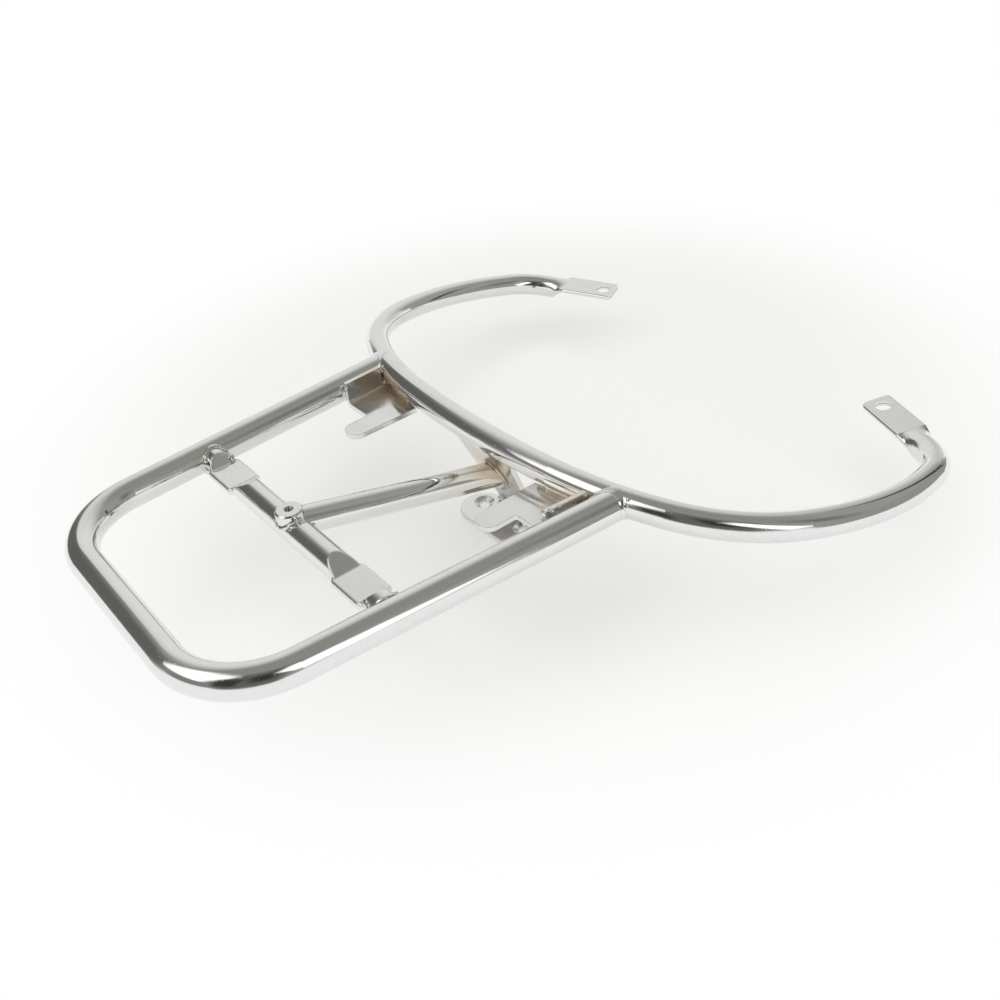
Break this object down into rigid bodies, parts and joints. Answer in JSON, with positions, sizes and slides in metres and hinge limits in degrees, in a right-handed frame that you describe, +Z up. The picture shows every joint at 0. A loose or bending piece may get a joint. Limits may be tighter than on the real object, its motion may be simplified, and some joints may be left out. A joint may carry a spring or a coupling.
{
  "type": "motorcycle luggage rack",
  "caption": "Chromed tube luggage rack for behind a scooter seat: horseshoe grab rail with flattened drilled ends, tapered rack loop, crossbar, strut and folded mounting brackets.",
  "frame": {"origin": "midway between the two foot bolt holes, on the underside of the centre bracket's foot", "axes": "+X across to the rider's right, +Y forward to the seat, +Z up; the rack loop lies level"},
  "size_m": [0.3982, 0.4542, 0.082],
  "materials": {
    "tube_chrome": "bright chrome plate on steel tube",
    "plate_chrome": "bright chrome plate on folded steel sheet, thin in the inside corners",
    "weld_chrome": "chrome plate over rough weld bead"
  },
  "bodies": {
    "root": {"grab_rail": "tube_chrome", "rack_loop": "tube_chrome", "crossbar": "tube_chrome", "crossbar_boss": "tube_chrome", "centre_strut": "tube_chrome", "centre_bracket": "plate_chrome", "left_bracket": "plate_chrome", "right_bracket": "plate_chrome", "weld_loop_left": "weld_chrome", "weld_loop_right": "weld_chrome", "weld_bar_left": "weld_chrome", "weld_bar_right": "weld_chrome", "weld_boss_left": "weld_chrome", "weld_boss_right": "weld_chrome", "weld_strut_left": "weld_chrome", "weld_strut_right": "weld_chrome", "weld_strut_foot": "weld_chrome", "weld_web_front": "weld_chrome", "weld_web_rear": "weld_chrome", "weld_side_left": "weld_chrome", "weld_side_right": "weld_chrome", "weld_front_left": "weld_chrome", "weld_front_right": "weld_chrome"}
  },
  "joints": []
}
